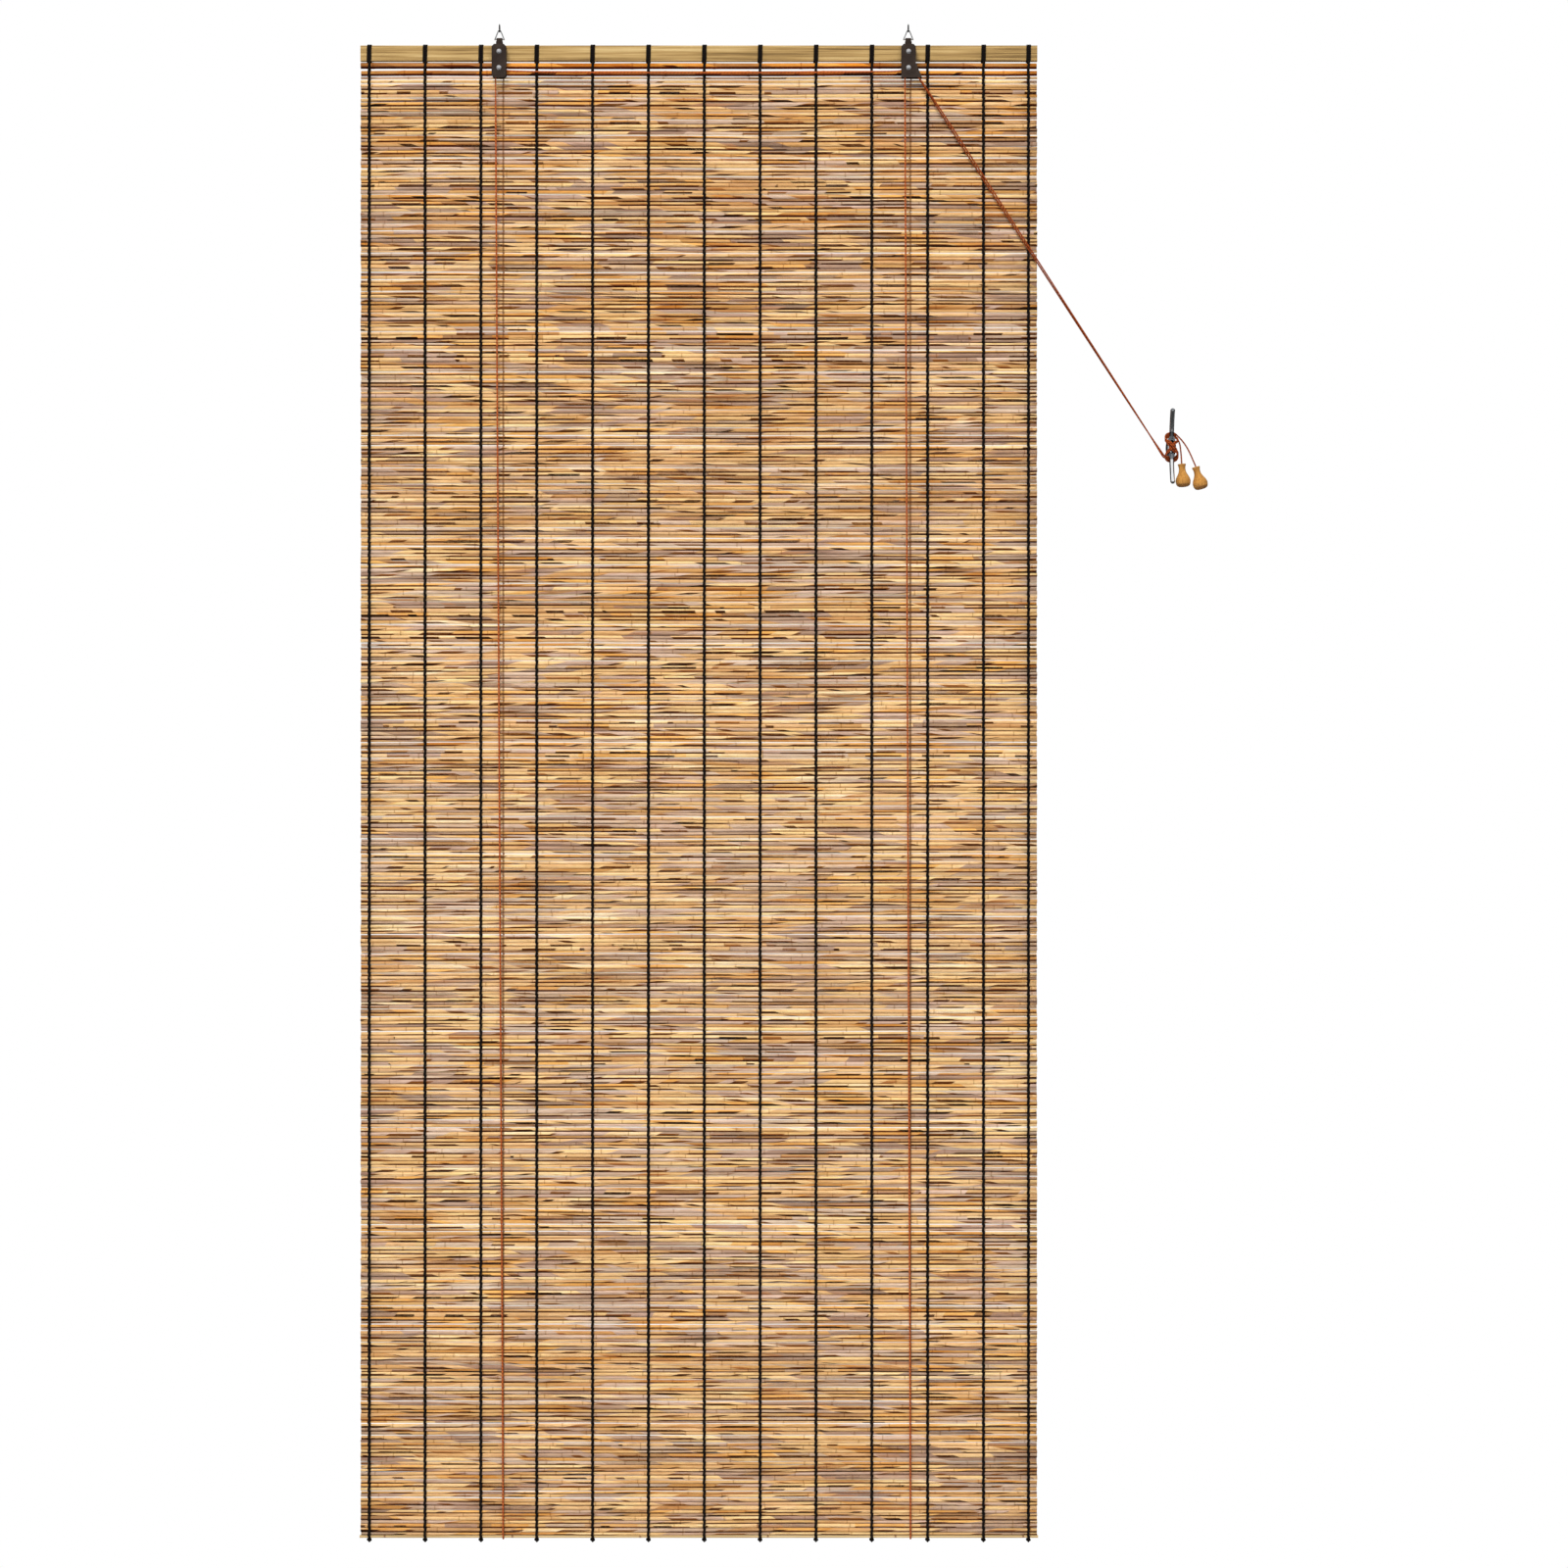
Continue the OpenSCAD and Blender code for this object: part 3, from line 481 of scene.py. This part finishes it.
def twist(lay, turns, fuzz_along, fuzz_round):
    """Twisted yarn: the share of the way across a ply that winds so many times in a metre, the ply's height,
    which is the distance from its middle, and a fuzz of fibres, so many to the metre and to a round."""
    ply = (lay.xyz(0) * turns + lay.xyz(1)).math("FRACT")
    ridge = (ply * 2 - 1).math("ABSOLUTE")
    fuzz = lay.scaled(fuzz_along, fuzz_round, 0).noise(detail=3)
    return ply, ridge, fuzz


def rounds(path, radius, sides=8, lobes=0, depth=0.0, turns=0.0):
    """Rings square to a path of points, as a grid of one tube: each corner is radius away from its point, on
    a circle that starts towards one fixed direction, taken square to the path. lobes gives the section so
    many ridges, a cosine wave depth of the radius high, which wind turns times in a metre."""
    fixed = np.array([0.31, 0.17, 0.23])
    way = np.gradient(path, axis=0)
    way /= np.linalg.norm(way, axis=1, keepdims=True)
    start = fixed - way * (way @ fixed)[:, None]
    start /= np.linalg.norm(start, axis=1, keepdims=True)
    other = np.cross(way, start)
    angle = np.arange(sides) / sides * 2 * np.pi
    far = np.r_[0, np.cumsum(np.linalg.norm(np.diff(path, axis=0), axis=1))] / 1000
    swell = 1 + depth * np.cos(lobes * (angle[None] + 2 * np.pi * turns * far[:, None]))
    reach = np.broadcast_to(radius, len(path))[:, None] * swell
    circle = np.cos(angle)[None, :, None] * start[:, None] + np.sin(angle)[None, :, None] * other[:, None]
    return (path[:, None] + reach[..., None] * circle)[None]


def steep(wave, power):
    """A wave from -1 to 1 with steeper flanks and flatter tops: its size to a power, with its own sign."""
    return np.sign(wave) * np.abs(wave) ** power


def at_warps(tube):
    """The tube of one warp, moved sideways to the place of each warp."""
    return tube + np.stack([warp_x, 0 * warp_x, 0 * warp_x], 1)[:, None, None]


yarn_paint, sockets, tree = material("warp_black")
_, ridge, fuzz = twist(tree.add("UVMap", 0, uv_map="lay"), turns=330, fuzz_along=700, fuzz_round=6)
tone = (ridge * fuzz).blend(srgb(26, 22, 20), srgb(10, 8, 8))
feed(sockets, ridge * 0.7 + fuzz * 0.3, 0.0003, Base_Color=tone, Roughness=0.8, Specular_IOR_Level=0.05)
ties = np.r_[-49.5, edge_z[2:-1:2], -2229, -2232.5]
down = np.arange(-50.0, -2232.0, -1.7)
phase = np.pi * np.interp(-down, -ties, np.arange(len(ties)))
for name, sign in (("warps_even", 1), ("warps_odd", -1)):
    swing = np.clip(sign * np.sin(phase) + 0.25, -1, 1)
    line = np.stack([sign * 0.4 * np.cos(phase), mat_y - yarn_reach * steep(swing, 0.3), down], 1)
    made = loft(name, at_warps(rounds(line, yarn_radius, sides=5)), yarn_paint, cuts=8)
    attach(made, "blind")
    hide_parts("warp_cords")

# Wrappings: four turns of the same black yarn at each warp, which tie the mat to the head lath. They go round
# the lath a little aslant and lie flat on its faces.
wrap_turns = 4
wrap_half_wide = 3.3
wrap_radius = 0.95
turn = np.linspace(0, 2 * np.pi * wrap_turns, wrap_turns * 44 + 1)
line = np.stack([
    np.linspace(-wrap_half_wide, wrap_half_wide, len(turn)) + 0.9 * np.sin(turn),
    2.8 + 4.85 * steep(np.cos(turn), 0.4),
    -37.5 + 12.35 * steep(np.sin(turn), 0.3),
], 1)
made = loft("wrappings", at_warps(rounds(line, wrap_radius, sides=6)), yarn_paint, cuts=2)
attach(made, "blind")
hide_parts("warp_wraps")

# Knots: each pair of black yarns ends in a tight overhand knot under the bottom stick, with a short frayed
# tip. The knots keep the stick from slipping out of the warps.
knot_share = [0, 0.12, 0.3, 0.5, 0.68, 0.8, 1]
knot_radius = [1.8, 3.1, 3.5, 3.5, 2.7, 1.6, 0.8]
down = np.linspace(0, 1, 16)
line = np.stack([0 * down, mat_y + 0 * down, np.linspace(-2231.4, -2237.6, 16)], 1)
fat = np.interp(down, knot_share, knot_radius)
made = loft("knots", at_warps(rounds(line, fat, sides=14, lobes=3, depth=0.12, turns=60)), yarn_paint)
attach(made, "blind")
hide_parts("warp_knots")

# Brackets: a flat rear plate and a pressed front cover, both folded from sheet steel and stoved dark brown.
# The finish is satin, with a fine orange-peel skin and faint scuffs. A rivet fixes each bracket to the lath.
sheet_paint, sockets, tree = material("bracket_brown")
place = tree.add("TexCoord", "Object")
peel = place.noise(900)
cloud = place.noise(60, 3)
tone = cloud.ramp((0.3, srgb(38, 28, 23)), (0.55, srgb(48, 38, 32)), (0.8, srgb(62, 52, 46)))
feed(sockets, peel, 0.00006, Base_Color=tone, Roughness=cloud * 0.2 + 0.34, Specular_IOR_Level=0.2)
dress(sheet_paint, "left_plate", "right_plate", "left_cover", "right_cover")

# Sheaves: three grooved wheels, moulded in dark grey plastic with a slightly mottled skin. One turns on the
# axle rivet of the left bracket, and two, one before the other, on that of the right.
sheave_paint, sockets, tree = material("sheave_plastic")
marks = tree.add("TexCoord", "Object").noise(700, 3)
tone = marks.blend(srgb(48, 46, 46), srgb(70, 68, 66))
feed(sockets, marks, 0.00004, Base_Color=tone, Roughness=marks * 0.3 + 0.35)
dress(sheave_paint, "left_pulley", "right_front_sheave", "right_rear_sheave")

# Rivets and staples: bright zinc-plated steel with fine marks. Each bracket has one rivet through the lath
# and one as its axle, and the staples hold the rear ends of the lift cords on the back of the lath.
rivet_paint, sockets, tree = material("rivet_steel")
marks = tree.add("TexCoord", "Object").noise(1800)
tone = marks.blend(srgb(160, 160, 162), srgb(200, 200, 202))
feed(sockets, marks, 0.00002, Base_Color=tone, Metallic=0.7, Roughness=marks * 0.15 + 0.28)
dress(rivet_paint, "fixing_rivets", "axle_rivets", "cord_staples")

# Rings: triangles of bent chromed wire. The lower bar of each lies in the rolled eye of a bracket's plate,
# and its crown rests in a hook.
ring_paint, sockets, tree = material("ring_chrome")
marks = tree.add("TexCoord", "Object").noise(1200)
tone = marks.blend(srgb(150, 150, 150), srgb(196, 196, 196))
feed(sockets, marks, 0.00002, Base_Color=tone, Metallic=1.0, Roughness=marks * 0.2 + 0.2)
dress(ring_paint, "left_ring", "right_ring")

# Hooks: two screw hooks of plain steel wire, darker than the rings. They are screwed into the ceiling and
# carry the whole blind.
hook_paint, sockets, tree = material("hook_steel")
marks = tree.add("TexCoord", "Object").noise(900, 3)
tone = marks.blend(srgb(34, 32, 32), srgb(66, 64, 62))
feed(sockets, marks, 0.00004, Base_Color=tone, Metallic=0.9, Roughness=marks * 0.3 + 0.3)
dress(hook_paint, "left_hook", "right_hook")

# Lift cords: twisted yarn, rust and maroon. Each is tied over a staple behind the lath, falls behind the mat,
# turns under the bottom stick and comes up the front to its pulley. The left one goes on across the front to
# the rear sheave of the right bracket.
bracket_x = 302.0
axle_z = -61.0
sheave_lay = 5.25
left_y = -6.3
rear_y = -4.3
front_y = -8.3
mat_low = -2231.0
run_end = np.array([676, -629])
aim = run_end - [bracket_x, axle_z]
leave = np.arcsin(aim[0] / np.hypot(*aim))
start_x = bracket_x + sheave_lay * np.cos(leave)
start_z = axle_z + sheave_lay * np.sin(leave)
run_way = np.array([run_end[0] - start_x, 0, run_end[1] - start_z])
run_way /= np.linalg.norm(run_way)
left_end = np.array([start_x, rear_y, start_z])
right_end = np.array([start_x, front_y, start_z])


def curve(points, step):
    """A smooth line through points, in steps of about step mm. Between two points it is the centripetal
    Catmull-Rom cubic of the four nearest, with the ends carried on straight: three straight lines between
    neighbours are blended into two, and these into one."""
    known = np.array(points, float)
    known = np.concatenate([[2 * known[0] - known[1]], known, [2 * known[-1] - known[-2]]])
    gap = np.linalg.norm(np.diff(known, axis=0), axis=1)
    knots = np.r_[0, np.cumsum(np.sqrt(gap))]
    pieces = []
    for i in range(1, len(known) - 2):
        now = np.linspace(knots[i], knots[i + 1], max(2, int(gap[i] / step) + 1), endpoint=False)[:, None]
        before, start, end, after = knots[i - 1:i + 3]
        first = (known[i - 1] * (start - now) + known[i] * (now - before)) / (start - before)
        second = (known[i] * (end - now) + known[i + 1] * (now - start)) / (end - start)
        third = (known[i + 1] * (after - now) + known[i + 2] * (now - end)) / (after - end)
        early = (first * (end - now) + second * (now - before)) / (end - before)
        late = (second * (after - now) + third * (now - start)) / (after - start)
        pieces.append((early * (end - now) + late * (now - start)) / (end - start))
    return np.concatenate(pieces + [known[-2:-1]])


def fall(x, y, shift):
    """The way of a lift cord from its knot behind the lath to the pulley at x, in mm: straight down behind
    the mat, shift to the side of the pulley, half a circle under the stick, and straight up in front."""
    turn = np.radians([0, 30, 60, 90, 120, 150, 180])
    round_y = mat_y + 4.7 * np.cos(turn)
    round_z = mat_low + 3.4 - 4.7 * np.sin(turn)
    under = np.stack([x + shift + 0 * turn, round_y, round_z], 1)
    behind = [[x + 5.5, 9, -29.6], [x + 5.5, 9, -30.6], [x + 5.5, 9, -32.4], [x + 5.5, 9, -34.2],
              [x + 5.5, 8.3, -35.8], [x + 5.5, 8.2, -42], [x + 5.5, 8.1, -48], [x + 5.5, 7.6, -54],
              [x + 5.4, 7.2, -62], [x + shift, 7.1, -100], [x + shift, 6.6, -1100],
              [x + shift, 6.5, mat_low + 40]]
    before = [[x + shift - 0.1, -2.9, mat_low + 40], [x + shift / 2 - 2.7, y / 2 - 1.45, -1100],
              [x - sheave_lay, y, -84], [x - sheave_lay, y, axle_z - 4]]
    return np.concatenate([behind, under, before])


def over(x, y, start, end):
    """The cord's arc over a sheave at x: part of a circle between two angles in degrees."""
    angle = np.radians(np.linspace(start, end, 8))
    return np.stack([x + sheave_lay * np.cos(angle), y + 0 * angle, axle_z + sheave_lay * np.sin(angle)], 1)


cord_paint, sockets, tree = material("cord_brown")
lay = tree.add("UVMap", 0, uv_map="lay")
ply, ridge, fuzz = twist(lay, turns=190, fuzz_along=900, fuzz_round=5)
worn = lay.scaled(12, 0, 0).noise()
handled = tree.add("Attribute", 2, attribute_name="strand")
tone = ply.between(0.4, 0.7).blend(srgb(208, 108, 50), srgb(160, 76, 42))
tone = (fuzz * worn * 1.3).blend(tone, srgb(104, 50, 36))
tone = handled.blend(tone, tone.times(srgb(218, 204, 186)))
feed(sockets, ridge * 0.7 + fuzz * 0.3, 0.0003, Base_Color=tone, Roughness=0.85, Specular_IOR_Level=0.1)

cord_radius = 1.1
cross = [[-293, left_y, -63.1], [-290.4, left_y, -64.2], [-284, left_y, -64.9], [-242, left_y + 0.3, -66],
         [-160, left_y + 0.7, -67], [0, left_y + 1.1, -67.4], [160, rear_y - 0.4, -66.8],
         [242, rear_y - 0.2, -65.8], [284, rear_y, -64.9], [290.4, rear_y, -64.2], [293, rear_y, -63.1]]
lifts = {
    "left_lift_line": [
        fall(-bracket_x, left_y, 5.5),
        over(-bracket_x, left_y, 180, 48),
        cross,
        over(bracket_x, rear_y, 132, np.degrees(leave)),
        [left_end + run_way * 6, left_end + run_way * 26],
    ],
    "right_lift_line": [
        fall(bracket_x, front_y, 3.2),
        over(bracket_x, front_y, 180, np.degrees(leave)),
        [right_end + run_way * 6, right_end + run_way * 26],
    ],
}
for name, ways in lifts.items():
    line = curve(np.concatenate(ways), step=2.2)
    far = np.r_[0, np.cumsum(np.linalg.norm(np.diff(line, axis=0), axis=1))]
    loose = 0.25 * np.clip((-95 - line[:, 2]) / 40, 0, 1)
    knot = 1.1 * np.exp(-(((far - 2.8) / 1.5) ** 2))
    made = loft(name, rounds(line, cord_radius + loose + knot, sides=6), cord_paint, cuts=40)
    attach(made, "blind")
    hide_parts(name.replace("line", "cord"))

# Cleat: die-cast in one piece and chromed, smooth and bright, with two horns for the cords and two screw
# holes by which it is fixed to the wall. Its stem and the tip of its upper horn get a painted dark reflection,
# a duller grey multiplied into the chrome.
cleat_at = np.array([690.0, 0, -620.0])
stem_z = -0.618
cleat_paint, sockets, tree = material("cleat_chrome")
place = tree.add("TexCoord", "Object")
marks = place.noise(500, 3)
stem_reflection = (place.xyz(0) - cleat_at[0] / 1000).math("ABSOLUTE").between(0.0052, 0.0044)
stem_reflection = stem_reflection * (place.xyz(2) - stem_z).math("ABSOLUTE").between(0.022, 0.019)
horn_tip_reflection = place.xyz(2).between(-0.5695, -0.5665)
tone = marks.blend(srgb(228, 230, 232), srgb(242, 243, 244))
# Painted reflection: the stem and the upper horn's tip are a darker grey.
tone = (stem_reflection + horn_tip_reflection).blend(tone, tone.times(srgb(132, 135, 138)))
feed(sockets, marks, 0.00001, Base_Color=tone, Metallic=1.0, Roughness=marks * 0.06 + 0.08)
dress(cleat_paint, "cleat")

# Tassels: turned from one piece of golden wood, with a flared rim, a slim neck and a full belly. Each is
# bored for its cord, and a knot in the bore holds it.
tassel_tall = 34.0
belly = 10.9
tassel_sides = 40
left_top = np.array([705.8, -1.2, -644.3])
right_top = np.array([726.5, -1.2, -648.6])
left_hang, right_hang = (np.array([np.sin(lean), 0, -np.cos(lean)]) for lean in np.radians([4.5, 15]))
wood_paint, sockets, tree = material("tassel_wood")
lay = tree.add("UVMap", 0, uv_map="lay")
place = tree.add("TexCoord", "Object")
grain = place.scaled(420, 420, 40).noise(detail=4, rough=0.6)
pores = place.scaled(2200, 2200, 160).noise()
level = grain * 0.75 + pores * 0.3 - 0.02
tone = level.ramp((0.25, srgb(128, 84, 38)), (0.48, srgb(178, 124, 58)), (0.62, srgb(196, 142, 70)),
                  (0.85, srgb(216, 168, 98)))
# Painted shade: the bottom edge of the belly is darker.
tone = lay.xyz(0).between(0.037, 0.0412).blend(tone, tone.times(srgb(184, 176, 166)))
feed(sockets, grain * 0.5 + pores * 0.5, 0.0001, Base_Color=tone, Roughness=pores * 0.2 + 0.4,
     Specular_IOR_Level=0.3)

# The profile: radius and height below the rim, in mm, from inside the upper bore, down the outside, into the
# lower bore. It is turned once round the line on which the tassel hangs.
upper_bore = [[1.3, -9], [1.3, -4], [1.35, -0.9]]
rim_and_neck = [[1.5, -0.6], [3.8, -0.9], [5.6, -0.1], [5.95, -0.5], [5.85, -1.5], [5.1, -4], [4.8, -7]]
body = [[5.1, -0.3 * tassel_tall], [6.2, -0.4 * tassel_tall], [8, -0.5 * tassel_tall],
        [0.9 * belly, -0.6 * tassel_tall], [belly, -0.71 * tassel_tall], [belly, -0.79 * tassel_tall],
        [0.94 * belly, -0.88 * tassel_tall], [0.8 * belly, -0.95 * tassel_tall],
        [0.6 * belly, -0.985 * tassel_tall], [4, -tassel_tall]]
lower_bore = [[3.4, -tassel_tall], [3.3, -tassel_tall + 0.5], [3.3, -27], [3.3, -25]]
profile = np.concatenate([upper_bore, curve(rim_and_neck + body, step=0.6), lower_bore])
angle = np.arange(tassel_sides) / tassel_sides * 2 * np.pi
tassel_hangs = {
    "left_turned_tassel": (left_top, left_hang),
    "right_turned_tassel": (right_top, right_hang),
}
for name, (top, hang) in tassel_hangs.items():
    side = np.array([hang[2], 0, -hang[0]])
    depth = np.cross(hang, side)
    circle = np.cos(angle)[None, :, None] * side + np.sin(angle)[None, :, None] * depth
    grid = (top + profile[:, 1:2] * -hang)[:, None] + profile[:, :1, None] * circle
    made = loft(name, grid[None], wood_paint)
    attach(made, "fixings")
    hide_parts(name.replace("turned_", ""))

# Pull cords: the ends of the lift cords, two limp cords of the same yarn, a little darker from handling. They
# run taut from under the right bracket to the cleat, make three crossings in a figure of eight round it, and
# hang on to a tassel each.
square_x = 0.77
square_z = 0.64
beside = np.array([-run_way[2], 0, run_way[0]])


def half_turn(end, out):
    """The way behind one horn from left to right: half a circle round its left side, a point behind it, and
    the same mirrored. end is -1 at the lower horn and 1 at the upper one, and out moves it towards the horn's
    tip."""
    angle = np.radians([225, 180, 135, 90])
    tall = np.array([8.6, 11.8, 15.2, 17.4]) + out * np.array([0.4, 0.8, 1, 1])
    left = np.stack([-4.7 + 4.5 * np.cos(angle), -8.4 + 4.5 * np.sin(angle), end * tall], 1)
    return np.concatenate([left, [[0, -3.9, end * (18.2 + out)]], left[::-1] * [-1, 1, 1]])


def crossing(rise, shift, *deep):
    """The way across the front from right to left: three points on a slope, upwards where rise is 1 and
    downwards where it is -1, at three depths. shift moves it sideways, square to the slope."""
    step = np.array([-1, 0, 1])
    return np.stack([square_x * shift - 4.4 * step, deep, rise * (square_z * shift + 5.4 * step)], 1)


turns = [half_turn(-1, -2), crossing(1, -1.2, -12.7, -12.8, -12.7), half_turn(1, -2),
         crossing(-1, 0.0, -13.6, -14.9, -14.0), half_turn(-1, 2.2), crossing(1, 1.3, -14.4, -17.0, -15.0),
         half_turn(1, 2.2)]
spreads = [[0, 0, 1], [square_x, 0, square_z], [0, 0, 1], [-square_x, 0, square_z], [0, 0, 1],
           [square_x, 0, square_z], [0, 0, 1]]
wind = cleat_at + np.concatenate(turns)[3:-3]
apart = cord_radius * np.repeat(spreads, [len(way) for way in turns], 0)[3:-3]
left_run = [left_end + run_way * 26.3, left_end + run_way * 80 - beside,
            np.array([500, -3.9, -358]) - beside, [658.6, -3.3, -602.0], [676.9, -3.6, -628.4],
            [680.1, -3.7, -632.7]]
left_drop = [[699.8, -1.7, -603.2], [706, -1.6, -609.6], [713, -1.5, -619.4], [718.6, -1.3, -630],
             [722.8, -1.2, -639.6], right_top - right_hang, right_top + right_hang * 14,
             right_top + right_hang * 26]
right_run = [right_end + run_way * 26.3, right_end + run_way * 80 + beside,
             np.array([500, -6.6, -358]) + beside, [658.2, -5.4, -602.3], [675.1, -4.2, -629.6],
             [678.5, -3.7, -634.4]]
right_drop = [[698.4, -1.5, -606.2], [700.6, -1.3, -609.4], [702.8, -1.2, -615], [704.4, -1.2, -626],
              [705.4, -1.2, -638], left_top - left_hang, left_top + left_hang * 14, left_top + left_hang * 26]
pulls = {
    "left_pull_cord": ([left_run, wind + apart, left_drop], "right_tail", "right_turned_tassel"),
    "right_pull_cord": ([right_run, wind - apart, right_drop], "left_tail", "left_turned_tassel"),
}
for name, (ways, tail, tassel) in pulls.items():
    line = curve(np.concatenate(ways), step=1.2)
    made = loft(name, rounds(line, cord_radius), cord_paint, cuts=24, first=1)
    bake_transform(made)
    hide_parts("pull_cords", "cleat_turns", tail)
    (line[0] / 1000).tolist()
    (line / 1000).tolist()
